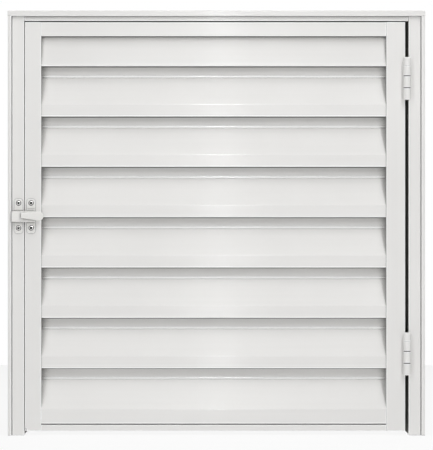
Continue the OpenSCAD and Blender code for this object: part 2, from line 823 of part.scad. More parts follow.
// The bar's and the block's common section, rounded along its two front edges
function bar_outline(back) = rounded([
    [back, bar_z - bar_h / 2, 0], [back, bar_z + bar_h / 2, 0],
    [-bar_front, bar_z + bar_h / 2, bar_round], [-bar_front, bar_z - bar_h / 2, bar_round]
]);
module latch_keeper() {
    pocket_end = bolt_tip - bolt_travel - pocket_room;
    color("white") at_face() difference() {
        union() {
            latch_plate(keeper_x);
            along(bar_outline(0), block_left, block_right);
        }
        translate([pocket_end, hollow_front - pocket_clear, hollow_low - pocket_clear])
            cube([block_right - pocket_end + over, hollow_back - hollow_front + 2 * pocket_clear,
                hollow_top - hollow_low + 2 * pocket_clear]);
    }
}
module latch_body() {
    hollow_len = plate_right - bar_wall - bar_left;
    slot_h = stem_h + 2 * bolt_clear;
    color("white") at_face() difference() {
        union() {
            latch_plate(latch_x);
            along(bar_outline(-latch_plate_t + touch), latch_x - latch_plate_w / 2, plate_right);
            along(bar_outline(-bar_lift), bar_left, plate_right);
            translate([latch_x - latch_plate_w / 2, -latch_plate_t - ledge_deep, bar_z])
                cube([latch_plate_w, ledge_deep + touch, bar_h / 2 + ledge_h]);
        }
        translate([bar_left - over, hollow_front, hollow_low])
            cube([hollow_len + over, hollow_back - hollow_front, hollow_top - hollow_low]);
        translate([stem_x - bolt_travel - join_gap, -bar_front - over, bar_z - slot_h / 2])
            cube([bolt_travel + stem_w + 2 * join_gap, bar_front + over + hollow_front + touch, slot_h]);
    }
}
module latch_screws() {
    color("silver") at_face() for (z = latch_screw_z) {
        translate([latch_x, -latch_plate_t, z]) rotate([-90, 0, 0]) raised_screw(latch_screw_len);
    }
}
module keeper_screws() {
    color("silver") at_face() for (z = latch_screw_z) {
        translate([keeper_x, -latch_plate_t, z]) rotate([-90, 0, 0]) raised_screw(latch_screw_len);
    }
}
// The bolt's nose is bevelled above and below, so that it finds its way into the keeper
nose_bevel = 1.2;
module bolt() {
    color("silver") at_face() difference() {
        translate([0, bolt_back, 0]) rotate([90, 0, 0]) linear_extrude(bolt_t) polygon([
            [bolt_tip, bar_z - bolt_h / 2 + nose_bevel], [bolt_tip + nose_bevel, bar_z - bolt_h / 2],
            [bolt_tip + bolt_len, bar_z - bolt_h / 2], [bolt_tip + bolt_len, bar_z + bolt_h / 2],
            [bolt_tip + nose_bevel, bar_z + bolt_h / 2], [bolt_tip, bar_z + bolt_h / 2 - nose_bevel]
        ]);
        translate([stem_x + stem_w / 2, bolt_back - bolt_t, bar_z])
            rod_y(-over, peg_len + peg_end_gap, peg_r + press_clear);
    }
}
// A thin strip, bowed up under the bolt, rests on the hollow's floor
spring_len = 11;
spring_t = 0.3;
spring_inset = 4;
spring_gap = 0.1;
spring_bow = spring_room - spring_t - spring_gap;
module bolt_spring() {
    r = (spring_len * spring_len / 4 + spring_bow * spring_bow) / (2 * spring_bow);
    middle_x = bar_left + spring_inset + spring_len / 2;
    color("silver") at_face() translate([middle_x, hollow_back - bolt_clear, hollow_low + spring_bow - r]) {
        intersection() {
            rotate([90, 0, 0]) difference() {
                cylinder(h = bolt_t, r = r + spring_t, $fn = 96);
                translate([0, 0, -over]) cylinder(h = bolt_t + 2 * over, r = r, $fn = 96);
            }
            translate([-spring_len / 2, -bolt_t - over, r - spring_bow])
                cube([spring_len, bolt_t + 2 * over, spring_bow + spring_t + over]);
        }
    }
}
// The grip is narrow at the keeper's end and round at the other, with a crowned front
grip_edge = 1.4;
grip_inset = 0.6;
grip_side_t = grip_t - 1.6 * grip_edge;
stem_lap = 0.5;
module thumb_grip() {
    left = bar_left + grip_inset;
    round_r = grip_round_d / 2;
    bolt_front = bolt_back - bolt_t;
    tip_h = grip_narrow_h - 2 * grip_edge;
    narrow_z = bar_z + grip_narrow_rise;
    color("white") at_face() {
        hull() {
            translate([left + grip_len - round_r, 0, bar_z + grip_round_rise]) {
                rod_y(-grip_back - grip_t + grip_edge, -grip_back, round_r, $fn = 32);
                rod_y(-grip_back - grip_t, -grip_back, round_r - grip_edge, $fn = 32);
            }
            translate([left, -grip_back - grip_side_t, narrow_z - grip_narrow_h / 2])
                cube([grip_edge, grip_side_t, grip_narrow_h]);
            translate([left + grip_edge / 2, -reach_front + grip_edge, narrow_z - tip_h / 2])
                cube([grip_edge, grip_t - grip_edge, tip_h]);
        }
        translate([stem_x, -grip_back - stem_lap, bar_z - stem_h / 2])
            cube([stem_w, grip_back + stem_lap + bolt_front, stem_h]);
        translate([stem_x + stem_w / 2, 0, bar_z])
            rod_y(bolt_front - stem_lap, bolt_front + peg_len, peg_r);
    }
}

frame_head();
left_jamb();
right_jamb();
corner_screws();
left_seal();
right_seal();
head_seal();
latch_keeper();
keeper_screws();
latch_stile();
hinge_stile();
top_rail();
bottom_rail();
rail_screws();
for (i = [1:slat_count]) {
    louvre_slat(i);
}
for (h = [0:1], part = HINGE_PARTS) {
    hinge_part(part, hinge_bases[h]);
}
latch_body();
bolt_spring();
latch_screws();
bolt();
thumb_grip();
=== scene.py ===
"""A louvred access door in its own three-sided frame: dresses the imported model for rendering."""
import math

import bmesh
import bpy
from mathutils import Matrix, Vector


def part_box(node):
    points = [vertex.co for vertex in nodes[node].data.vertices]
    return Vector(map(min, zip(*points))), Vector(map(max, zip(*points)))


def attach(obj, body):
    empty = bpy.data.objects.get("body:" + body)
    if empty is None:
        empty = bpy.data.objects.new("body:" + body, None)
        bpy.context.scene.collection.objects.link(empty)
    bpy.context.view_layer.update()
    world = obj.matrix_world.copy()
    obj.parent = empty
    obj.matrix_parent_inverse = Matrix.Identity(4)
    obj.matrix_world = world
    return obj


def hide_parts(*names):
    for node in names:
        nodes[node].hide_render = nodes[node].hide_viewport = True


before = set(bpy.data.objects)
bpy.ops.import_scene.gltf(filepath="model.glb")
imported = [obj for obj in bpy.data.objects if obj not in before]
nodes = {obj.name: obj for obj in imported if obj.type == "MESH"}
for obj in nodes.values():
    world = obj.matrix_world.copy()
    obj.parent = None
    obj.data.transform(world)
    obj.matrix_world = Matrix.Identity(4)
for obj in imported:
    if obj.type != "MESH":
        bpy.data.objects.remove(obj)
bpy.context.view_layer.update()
scene = bpy.context.scene

# The frame.
# Head and two jambs: aluminium extrusions, cut square and screwed together at the corners, then
# powder coated in a satin white. The coat is a baked skin 60 to 80 microns thick with a very fine
# orange peel, so edges stay crisp and a long surface shows only broad, faint changes.
def linear(code):
    """An sRGB hex colour as the linear RGBA that a socket takes."""
    parts = [int(code[i:i + 2], 16) / 255 for i in (1, 3, 5)]
    return [c / 12.92 if c <= 0.04045 else ((c + 0.055) / 1.055) ** 2.4 for c in parts] + [1.0]


def add(tree, kind, settings=None, links=None):
    """Adds a node. Settings are its own properties or, where a socket has that name or number, that
    socket's value. A pattern's Scale is written as 1000 over its real size in mm."""
    n = tree.nodes.new(kind)
    later = {}
    for key, value in (settings or {}).items():
        if isinstance(key, str) and hasattr(n, key) and key not in ("inputs", "outputs"):
            setattr(n, key, value)
        else:
            later[key] = value
    for key, value in later.items():
        n.inputs[key].default_value = value
    for key, source in (links or {}).items():
        tree.links.new(source, n.inputs[key])
    return n


# A colour Mix node's sockets go by number, because each of their names stands for several.
MIX_SHARE, MIX_FIRST, MIX_SECOND, MIX_OUT = 0, 6, 7, 2


def new_material(name):
    """An empty node material with its shader and its output joined, and its Object coordinates."""
    m = bpy.data.materials.new(name)
    m.use_nodes = True
    tree = m.node_tree
    tree.nodes.clear()
    shader = add(tree, "ShaderNodeBsdfPrincipled")
    add(tree, "ShaderNodeOutputMaterial", links={"Surface": shader.outputs["BSDF"]})
    place = add(tree, "ShaderNodeTexCoord").outputs["Object"]
    return m, tree, shader, place


# The frame's own outline lies beyond these distances from its middle and from its foot, in metres.
OUTLINE_SIDE, OUTLINE_TOP = 0.2915, 0.597


def with_painted_light(tree, place, tint, reach, thick=1.3):
    """A coat's colour with a painted highlight along outer edges and painted shade in inner corners. The
    frame's own outline gets no highlight. reach and thick are how far the painted shade and highlight
    spread, in mm. A mesh's two attributes for these, from 0 to 1, add to them."""
    # The painted highlight: outer edges, found by the inside AO, are painted towards white.
    within = add(tree, "ShaderNodeAmbientOcclusion", {"inside": True, "only_local": True, "samples": 8,
                                                      "Distance": thick / 1000}).outputs["AO"]
    sharp = add(tree, "ShaderNodeMapRange", {"From Min": 0.98, "From Max": 0.85}, {"Value": within})
    lower_edge = add(tree, "ShaderNodeAttribute", {"attribute_name": "edge"})
    edge = add(tree, "ShaderNodeMath", {"operation": "MAXIMUM"},
               {0: sharp.outputs["Result"], 1: lower_edge.outputs["Fac"]})
    around = add(tree, "ShaderNodeAmbientOcclusion", {"samples": 8, "Distance": reach / 1000}).outputs["AO"]
    free = add(tree, "ShaderNodeMapRange", {"From Min": 0.55, "From Max": 0.8}, {"Value": around})
    at = add(tree, "ShaderNodeSeparateXYZ", links={"Vector": place})
    side = add(tree, "ShaderNodeMath", {"operation": "ABSOLUTE"}, {0: at.outputs["X"]})
    inner = add(tree, "ShaderNodeMath", {"operation": "LESS_THAN", 1: OUTLINE_SIDE},
                {0: side.outputs["Value"]})
    lower = add(tree, "ShaderNodeMath", {"operation": "LESS_THAN", 1: OUTLINE_TOP}, {0: at.outputs["Z"]})
    white = edge.outputs["Value"]
    for share in (free.outputs["Result"], inner.outputs["Value"], lower.outputs["Value"]):
        held = add(tree, "ShaderNodeMath", {"operation": "MULTIPLY"}, {0: white, 1: share})
        white = held.outputs["Value"]
    # The painted shade: inner corners, found by the AO, are painted towards dark grey.
    shut = add(tree, "ShaderNodeMapRange", {"From Min": 1.0, "From Max": 0.5, "To Max": 0.85},
               {"Value": around})
    corner = add(tree, "ShaderNodeMath", {"operation": "POWER", 1: 2.0}, {0: shut.outputs["Result"]})
    line = add(tree, "ShaderNodeAttribute", {"attribute_name": "painted_shade"})
    painted_shade = add(tree, "ShaderNodeMath", {"operation": "MAXIMUM"},
                {0: corner.outputs["Value"], 1: line.outputs["Fac"]})
    dark = add(tree, "ShaderNodeMix", {"data_type": "RGBA", MIX_SECOND: linear("#3A3835")},
               {MIX_SHARE: painted_shade.outputs["Value"], MIX_FIRST: tint})
    pale = add(tree, "ShaderNodeMix", {"data_type": "RGBA", MIX_SECOND: linear("#FFFFFF")},
               {MIX_SHARE: white, MIX_FIRST: dark.outputs[MIX_OUT]})
    return pale.outputs[MIX_OUT]


def powder_coat(name, pale, deep, drawn, rough=0.38, reach=3, thick=1.3):
    """Satin powder coat over an extrusion. The eye sees an even, soft white with a blurred shine, very
    faint clouds 140 mm across, and fainter waves from the die, with a painted highlight on outer edges
    and painted shade in inner corners. drawn is how far apart these waves lie along X, Y and Z, in mm."""
    m, tree, shader, place = new_material(name)
    shader.inputs["IOR"].default_value = 1.5
    shader.inputs["Coat Roughness"].default_value = 0.12
    cloud = add(tree, "ShaderNodeTexNoise", {"Scale": 1000 / 140, "Detail": 2.0}, {"Vector": place})
    waves = add(tree, "ShaderNodeMapping", {"Scale": [1000 / d for d in drawn]}, {"Vector": place})
    die = add(tree, "ShaderNodeTexNoise", {"Scale": 1.0, "Detail": 1.0},
              {"Vector": waves.outputs["Vector"]})
    both = add(tree, "ShaderNodeMath", {"operation": "MULTIPLY_ADD", 1: 0.3},
               {0: die.outputs["Fac"], 2: cloud.outputs["Fac"]})
    share = add(tree, "ShaderNodeMapRange", {"From Min": 0.4, "From Max": 0.9},
                {"Value": both.outputs["Value"]})
    tint = add(tree, "ShaderNodeMix",
               {"data_type": "RGBA", MIX_FIRST: linear(pale), MIX_SECOND: linear(deep)},
               {MIX_SHARE: share.outputs["Result"]})
    tree.links.new(with_painted_light(tree, place, tint.outputs[MIX_OUT], reach, thick), shader.inputs["Base Color"])
    # The charged powder hardly reaches the upstands behind the slats' noses, which stay dull.
    thin = add(tree, "ShaderNodeAttribute", {"attribute_name": "thin"})
    skin = add(tree, "ShaderNodeMapRange", {"To Min": 0.8, "To Max": 0.0}, {"Value": thin.outputs["Fac"]})
    tree.links.new(skin.outputs["Result"], shader.inputs["Coat Weight"])
    gloss = add(tree, "ShaderNodeMapRange", {"To Min": rough - 0.03, "To Max": rough + 0.04},
                {"Value": cloud.outputs["Fac"]})
    tree.links.new(gloss.outputs["Result"], shader.inputs["Roughness"])
    # Orange peel is 1 to 2 mm across on the real coat. It is drawn at 3 mm, which the render can just show.
    peel = add(tree, "ShaderNodeTexNoise", {"Scale": 1000 / 3.0, "Detail": 1.0}, {"Vector": place})
    bump = add(tree, "ShaderNodeBump", {"Strength": 0.25, "Distance": 0.00003},
               {"Height": peel.outputs["Fac"]})
    tree.links.new(bump.outputs["Normal"], shader.inputs["Normal"])
    return m


# Corners of a CAD mesh that lie this close, in metres, are one, and faces that meet at less than this
# angle, in degrees, are one flat face.
SAME_CORNER, FLAT = 2e-6, 0.6


def made_whole(name):
    """A CAD node's mesh, to be edited, with its split corners joined and its flat faces made whole."""
    bm = bmesh.new()
    bm.from_mesh(nodes[name].data)
    bmesh.ops.remove_doubles(bm, verts=bm.verts, dist=SAME_CORNER)
    bmesh.ops.dissolve_limit(bm, angle_limit=math.radians(FLAT), verts=bm.verts, edges=bm.edges)
    return bm


def mesh_from(bm, name, material=None):
    """The mesh that was edited, in a material where one is given."""
    mesh = bpy.data.meshes.new(name)
    bm.to_mesh(mesh)
    bm.free()
    if material:
        mesh.materials.append(material)
    return mesh


def placed(name, data):
    """A new object at the origin, in the scene."""
    o = bpy.data.objects.new(name, data)
    scene.collection.objects.link(o)
    return o


def settled(o):
    """The plain mesh that an object's modifiers give. The object itself goes."""
    mesh = bpy.data.meshes.new_from_object(o.evaluated_get(bpy.context.evaluated_depsgraph_get()))
    bpy.data.objects.remove(o)
    return mesh


def piece(name, mesh, body, stands_for, round_to=0):
    """An object at the origin that rides on a body and stands for CAD nodes. Its faces are smooth up to
    an angle in degrees, or all flat."""
    if round_to:
        mesh.shade_smooth()
        mesh.set_sharp_from_angle(angle=math.radians(round_to))
        o = placed(name, mesh)
        even = o.modifiers.new("even", "WEIGHTED_NORMAL")
        even.keep_sharp = True
        mesh = settled(o)
    else:
        mesh.shade_flat()
    mesh.name = name
    o = placed(name, mesh)
    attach(o, body)
    if stands_for:
        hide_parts(*stands_for)


# The die's waves run along an extrusion: 300 mm from one to the next along it, and 4 mm across it.
UPRIGHT, LEVEL = (4, 4, 300), (300, 4, 4)
# reach is how far the painted shade spreads from inner corners, in mm: on the head it paints the shadow
# under the lip.
jamb_coat = powder_coat("satin powder coat on upright extrusions", "#E9E8E6", "#E4E3E1", UPRIGHT, reach=2)
level_coat = powder_coat("satin powder coat on level extrusions", "#E6E5E3", "#E2E1DF", LEVEL, reach=6)
for name, finish in (("left_jamb", jamb_coat), ("right_jamb", jamb_coat), ("frame_head", level_coat)):
    piece(f"{name}_coated", mesh_from(made_whole(name), name, finish), "frame", [name])

# Seals.
# Strips of closed-cell EPDM foam, stuck to the frame's stops. The foam is matt and dark grey, with a
# fine open grain where it was slit, and reads nearly black at the bottom of its narrow gap.
def foam_rubber():
    """Slit foam rubber with pores about 0.8 mm apart, which leave it with hardly any shine."""
    m, tree, shader, place = new_material("black EPDM foam")
    shader.inputs["IOR"].default_value = 1.45
    shader.inputs["Specular IOR Level"].default_value = 0.2
    pores = add(tree, "ShaderNodeTexVoronoi", {"Scale": 1000 / 0.8}, {"Vector": place})
    tint = add(tree, "ShaderNodeMix",
               {"data_type": "RGBA", MIX_FIRST: linear("#4E4E4C"), MIX_SECOND: linear("#6E6E6B")},
               {MIX_SHARE: pores.outputs["Distance"]})
    tree.links.new(tint.outputs[MIX_OUT], shader.inputs["Base Color"])
    rough = add(tree, "ShaderNodeMapRange", {"To Min": 0.8, "To Max": 0.95},
                {"Value": pores.outputs["Distance"]})
    tree.links.new(rough.outputs["Result"], shader.inputs["Roughness"])
    bump = add(tree, "ShaderNodeBump", {"Strength": 0.5, "Distance": 0.0002},
               {"Height": pores.outputs["Distance"]})
    tree.links.new(bump.outputs["Normal"], shader.inputs["Normal"])
    return m


def coat(names, material):
    """Gives CAD nodes a material in every slot."""
    for name in names:
        slots = nodes[name].data.materials
        slots.clear()
        slots.append(material)


coat(["left_seal", "right_seal", "head_seal"], foam_rubber())

# The leaf's tubes.
# Two stiles run the leaf's full height and two rails lie between them, all thin rectangular tubes in
# the frame's satin coat. The stiles are slotted on the inside for the slats' ends.
stile_coat = powder_coat("satin powder coat on stiles", "#E9E8E6", "#E4E3E1", UPRIGHT, reach=2)
rail_coat = powder_coat("satin powder coat on rails", "#E8E7E5", "#E4E3E1", LEVEL)
for name, finish in (("latch_stile", stile_coat), ("hinge_stile", stile_coat),
                     ("top_rail", rail_coat), ("bottom_rail", rail_coat)):
    piece(f"{name}_coated", mesh_from(made_whole(name), name, finish), "door", [name])

# Louvre slats.
# Eight strips of satin coated 1.2 mm aluminium with the same bends: a hook and a flange under an
# upright nose, a slope, a bright bead, and an upstand behind the nose above, with two thin lines of
# painted shade. The plain one at the top has no upstand. Their ends pass through the stiles' slots.

# All sizes are in mm. Depths count from FACE, the Y of the frame's front face, and heights from a
# slat's own foot. An upstand shows from the front for the height SHOW, and then laps the nose above.
FACE = -10.25
SHEET = 1.2
HOOK, FLANGE = 4.0, 6.0
NOSE, LAST_NOSE = 17.0, 20.5
NOSE_BACK, LAST_BACK = 2.0, 0.3
UPSTAND = 18.3
SHOW, LAP = 16.4, 8.0
RISE = SHOW + LAP
NOSE_BEND, BEND, BEND_STEPS = 1.6, 0.8, 6
STRIP, STRIP_BACK, TOP_FLANGE = 6.0, 8.5, 8.0
OPEN_LEFT, OPEN_RIGHT = -247.7, 240.1
TENON, LAST_GAP = 4.0, 0.15

# The first size is how high the painted highlight along a nose's foot reaches. The bead's height and
# depth are half sizes, and BEAD_UP is how far its middle lies above the bend. The plain slat's own bead
# hides in its flange.
HIGHLIGHT_TOP = 1.7
BEAD_TALL, BEAD_PROUD, BEAD_UP = 1.4, 0.9, 2.1
HIDDEN_BEAD, HIDDEN_BACK = 0.2, 14

# Painted shade lies in the seam over the slope, under the bead, and in a line on the upstand level
# with the foot of the nose above, where that nose's shadow falls.
SEAM, SEAM_SHADE = 1.0, 0.4
LINE_LOW, LINE_HIGH, LINE_SHADE = 1.4, 0.8, 0.8

# Corners along a slat are numbered from the hook's end. The plain slat has its strip where the others
# have the nose's upper bend.
NOSE_FOOT, STRIP_FOOT, UPSTAND_FOOT, LINE_FOOT = 2, 4, 5, 7
# The share of painted shade after each corner that starts a shade line.
SHADE_LINES = {UPSTAND_FOOT: SEAM_SHADE, LINE_FOOT: LINE_SHADE}


def foot_of(node):
    """The height of a node's foot in mm."""
    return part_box(node)[0][2] * 1000


OPEN_TOP = foot_of("top_rail")
PITCH = foot_of("louvre_slat_2") - foot_of("louvre_slat_3")
SLOPE = PITCH - NOSE - SHOW


def bent(points):
    """A path in Y and Z whose corners are bent, and for each of its points the corner that it belongs
    to. A point is (y, z, radius of its bend)."""
    path, corner = [], []
    for i, (y, z, r) in enumerate(points):
        here = Vector((y, z))
        if r == 0 or i in (0, len(points) - 1):
            path.append(here)
            corner.append(i)
            continue
        back = (Vector(points[i - 1][:2]) - here).normalized()
        on = (Vector(points[i + 1][:2]) - here).normalized()
        half = back.angle(on) / 2
        middle = here + (back + on).normalized() * (r / math.sin(half))
        start = here + back * (r / math.tan(half)) - middle
        sweep = math.pi - 2 * half
        way = 1 if start.cross(here + on * (r / math.tan(half)) - middle) > 0 else -1
        for k in range(BEND_STEPS + 1):
            path.append(middle + Matrix.Rotation(way * sweep * k / BEND_STEPS, 2) @ start)
            corner.append(i)
    return path, corner


def section(points, left, first_thin, shaded):
    """The slat's cut end as a strip of quads, in metres, from its middle line and its thickness. The edge
    attribute, a painted highlight, is 1 at the nose's foot, the thin attribute is 1 from the corner
    first_thin on, and a third attribute holds the share of painted shade after each corner listed last."""
    path, corner = bent(points)
    bm = bmesh.new()
    edge = bm.faces.layers.float.new("edge")
    thin = bm.faces.layers.float.new("thin")
    painted_shade = bm.faces.layers.float.new("painted_shade")
    rows = []
    for i, p in enumerate(path):
        back = (p - path[i - 1]).normalized() if i else (path[1] - p).normalized()
        on = (path[i + 1] - p).normalized() if i < len(path) - 1 else back
        mean = (back + on).normalized()
        side = Vector((-mean.y, mean.x)) * (SHEET / 2 / mean.dot(on))
        rows.append([bm.verts.new((left / 1000, (q.x + FACE) / 1000, q.y / 1000))
                     for q in (p + side, p - side)])
    for a, b, i, k in zip(rows, rows[1:], corner, corner[1:]):
        f = bm.faces.new((a[0], a[1], b[1], b[0]))
        # The faces at the nose's foot carry the painted highlight.
        f[edge] = float(i == NOSE_FOOT)
        f[thin] = float(k > i >= first_thin)
        f[painted_shade] = shaded.get(i, 0.0)
    return mesh_from(bm, "slat_end")


def foot(front):
    """The hook and the flange under a nose, and the top of the painted highlight along the nose's foot."""
    nose = front + SHEET / 2
    hook = front + FLANGE - SHEET / 2
    return [(hook, HOOK, 0), (hook, SHEET / 2, BEND), (nose, SHEET / 2, BEND), (nose, HIGHLIGHT_TOP, 0)]


def nosed(z, front, nose, slope):
    """A slat with an upstand, which has corners at the ends of its two lines of painted shade."""
    top = nose + slope
    deep = UPSTAND + SHEET / 2
    line = foot(front) + [(front + SHEET / 2, nose, NOSE_BEND), (deep, top, BEND), (deep, top + SEAM, 0),
                          (deep, top + SHOW - LINE_LOW, 0), (deep, top + SHOW + LINE_HIGH, 0),
                          (deep, top + RISE, 0)]
    return [(y, z + h, r) for y, h, r in line]


def plain(z):
    """The top slat: one slope up to a short upright strip, and a flange under the top rail."""
    deep = NOSE_BACK + STRIP_BACK + SHEET / 2
    return ([(y, z + h, r) for y, h, r in foot(NOSE_BACK)]
            + [(deep, OPEN_TOP - STRIP, NOSE_BEND), (deep, OPEN_TOP - SHEET / 2, BEND),
               (deep + TOP_FLANGE, OPEN_TOP - SHEET / 2, 0)])


def group_of(name, sockets):
    """A new Geometry Nodes tree with a geometry in and out and the given inputs."""
    tree = bpy.data.node_groups.new(name, "GeometryNodeTree")
    tree.interface.new_socket("Geometry", in_out="INPUT", socket_type="NodeSocketGeometry")
    for label, kind in sockets:
        tree.interface.new_socket(label, in_out="INPUT", socket_type=kind)
    tree.interface.new_socket("Geometry", in_out="OUTPUT", socket_type="NodeSocketGeometry")
    return tree, tree.nodes.new("NodeGroupInput"), tree.nodes.new("NodeGroupOutput")


def slat_tree():
    """Draws a slat out along X from its cut end, lays the bead on it, and repeats it downwards."""
    tree, take, give = group_of("slat_row", [
        ("Length", "NodeSocketFloat"), ("Bead Size", "NodeSocketVector"),
        ("Bead Start", "NodeSocketVector"), ("Bead End", "NodeSocketVector"),
        ("Count", "NodeSocketInt"), ("Drop", "NodeSocketVector"), ("Coat", "NodeSocketMaterial")])
    i = take.outputs
    drawn = add(tree, "GeometryNodeExtrudeMesh", {"Offset": (1, 0, 0), "Individual": False},
                {"Mesh": i["Geometry"], "Offset Scale": i["Length"]})
    end = add(tree, "GeometryNodeFlipFaces", links={"Mesh": i["Geometry"]})
    shell = add(tree, "GeometryNodeJoinGeometry")
    tree.links.new(drawn.outputs["Mesh"], shell.inputs["Geometry"])
    tree.links.new(end.outputs["Mesh"], shell.inputs["Geometry"])
    closed = add(tree, "GeometryNodeMergeByDistance", {"Distance": 1e-6},
                 {"Geometry": shell.outputs["Geometry"]})
    line = add(tree, "GeometryNodeCurvePrimitiveLine",
               links={"Start": i["Bead Start"], "End": i["Bead End"]})
    circle = add(tree, "GeometryNodeCurvePrimitiveCircle", {"Resolution": 32, "Radius": 1.0})
    ring = add(tree, "GeometryNodeTransform",
               links={"Geometry": circle.outputs["Curve"], "Scale": i["Bead Size"]})
    bead = add(tree, "GeometryNodeCurveToMesh", {"Fill Caps": True},
               {"Curve": line.outputs["Curve"], "Profile Curve": ring.outputs["Geometry"]})
    slat = add(tree, "GeometryNodeJoinGeometry")
    tree.links.new(closed.outputs["Geometry"], slat.inputs["Geometry"])
    tree.links.new(bead.outputs["Mesh"], slat.inputs["Geometry"])
    row = add(tree, "GeometryNodeMeshLine", links={"Count": i["Count"], "Offset": i["Drop"]})
    set_out = add(tree, "GeometryNodeInstanceOnPoints",
                  links={"Points": row.outputs["Mesh"], "Instance": slat.outputs["Geometry"]})
    real = add(tree, "GeometryNodeRealizeInstances", links={"Geometry": set_out.outputs["Instances"]})
    coated = add(tree, "GeometryNodeSetMaterial",
                 links={"Geometry": real.outputs["Geometry"], "Material": i["Coat"]})
    tree.links.new(coated.outputs["Geometry"], give.inputs["Geometry"])
    return tree


def grown(mesh, tree, values):
    """Runs a tree on a mesh and gives back the result as a plain mesh."""
    o = placed("grown", mesh)
    modifier = o.modifiers.new("tree", "NODES")
    modifier.node_group = tree
    for item in tree.interface.items_tree:
        if item.in_out == "INPUT" and item.name in values:
            modifier[item.identifier] = values[item.name]
    return settled(o)


# The slats' painted highlight lies within 1 mm of an edge only, and the die's waves lie 5 mm apart across
# it.
SLAT_HIGHLIGHT, SLAT_WAVES = 1.0, (300, 5, 5)
# reach spreads painted shade up to 14 mm from inner corners, as at the slats' ends beside the stiles. The
# plain slat's coat is painted a shade darker than the others', to offset the highlight on its slope.
slat_coat = powder_coat("satin powder coat on slats", "#EAE9E7", "#E5E4E2", SLAT_WAVES,
                        reach=14, thick=SLAT_HIGHLIGHT)
plain_shaded_coat = powder_coat("satin powder coat on the plain slat, painted darker", "#E5E4E2", "#E0DFDD", SLAT_WAVES,
                         reach=6, thick=SLAT_HIGHLIGHT)
slats = slat_tree()


def slat_values(length, count, bend_z):
    """The tree's inputs for slats of a length in mm. The first one's bend under its bead is at bend_z."""
    deep = (UPSTAND + FACE) / 1000
    high = (bend_z + BEAD_UP) / 1000
    return {"Length": length / 1000, "Bead Size": (BEAD_PROUD / 1000, BEAD_TALL / 1000, 1),
            "Bead Start": (OPEN_LEFT / 1000, deep, high), "Bead End": (OPEN_RIGHT / 1000, deep, high),
            "Count": count, "Drop": (0, 0, -PITCH / 1000), "Coat": slat_coat}


through = OPEN_RIGHT - OPEN_LEFT + 2 * TENON
first_foot, second_foot, last_foot = (foot_of(f"louvre_slat_{i}") for i in (1, 2, 8))
equal_slats = [f"louvre_slat_{i}" for i in range(2, 8)]
row_end = section(nosed(second_foot, NOSE_BACK, NOSE, SLOPE), OPEN_LEFT - TENON, UPSTAND_FOOT, SHADE_LINES)
row_values = slat_values(through, len(equal_slats), second_foot + NOSE + SLOPE)
piece("louvre_slats", grown(row_end, slats, row_values), "door", equal_slats)

# The last slat's nose is taller and almost flush with the stiles' fronts. It is drawn without the
# tenons at its ends, which the stiles hide.
between = OPEN_RIGHT - OPEN_LEFT - 2 * LAST_GAP
last_slope = foot_of("louvre_slat_7") - last_foot - LAST_NOSE - SHOW
last_end = section(nosed(last_foot, LAST_BACK, LAST_NOSE, last_slope), OPEN_LEFT + LAST_GAP,
                   UPSTAND_FOOT, SHADE_LINES)
last_values = slat_values(between, 1, last_foot + LAST_NOSE + last_slope)
piece("bottom_slat", grown(last_end, slats, last_values), "door", ["louvre_slat_8"])

hidden_y = (HIDDEN_BACK + FACE) / 1000
hidden_z = (OPEN_TOP - SHEET / 2) / 1000
top_end = section(plain(first_foot), OPEN_LEFT - TENON, STRIP_FOOT, {})
top_values = slat_values(through, 1, first_foot)
top_values.update({"Coat": plain_shaded_coat, "Bead Size": (HIDDEN_BEAD / 1000, HIDDEN_BEAD / 1000, 1),
                   "Bead Start": (OPEN_LEFT / 1000, hidden_y, hidden_z),
                   "Bead End": (OPEN_RIGHT / 1000, hidden_y, hidden_z)})
piece("top_slat", grown(top_end, slats, top_values), "door", ["louvre_slat_1"])

# Screws.
# Zinc-plated steel screws with cross recesses: countersunk ones in the frame's corners and the
# hinges' leaves, raised ones in the latch, and pan heads in the stiles. Zinc is a pale grey with a
# soft shine, and painted shade darkens the recess and the seat round the head.
SCREW_SIDES = 32


def turned(profile):
    """A closed mesh turned about Z from (radius, height) pairs in mm that begin and end on the axis."""
    bm = bmesh.new()
    rings = []
    for r, z in profile:
        if r == 0:
            rings.append([bm.verts.new((0, 0, z / 1000))])
            continue
        ring = []
        for k in range(SCREW_SIDES):
            a = 2 * math.pi * k / SCREW_SIDES
            ring.append(bm.verts.new((r * math.cos(a) / 1000, r * math.sin(a) / 1000, z / 1000)))
        rings.append(ring)
    for a, b in zip(rings, rings[1:]):
        for k in range(SCREW_SIDES):
            n = (k + 1) % SCREW_SIDES
            if len(a) == 1:
                bm.faces.new((a[0], b[k], b[n]))
            elif len(b) == 1:
                bm.faces.new((a[k], a[n], b[0]))
            else:
                bm.faces.new((a[k], a[n], b[n], b[k]))
    return bm


# A recess tapers from its mouth, cut from MOUTH_UP mm over the head, to its floor, whose length and
# width are shares of the mouth's. Painted shade goes in the recess, deeper than a share of its depth
# and within a share of the head's radius, and in a ring beyond a larger share of that radius, where
# the head's seat is in shade. The last three shares below set these.
MOUTH, MOUTH_UP = 1.1, 0.3
FLOOR_LONG, FLOOR_WIDE = 0.55, 0.7
SHADE_DEEP, SHADE_IN, SHADE_OUT = 0.2, 0.7, 0.84


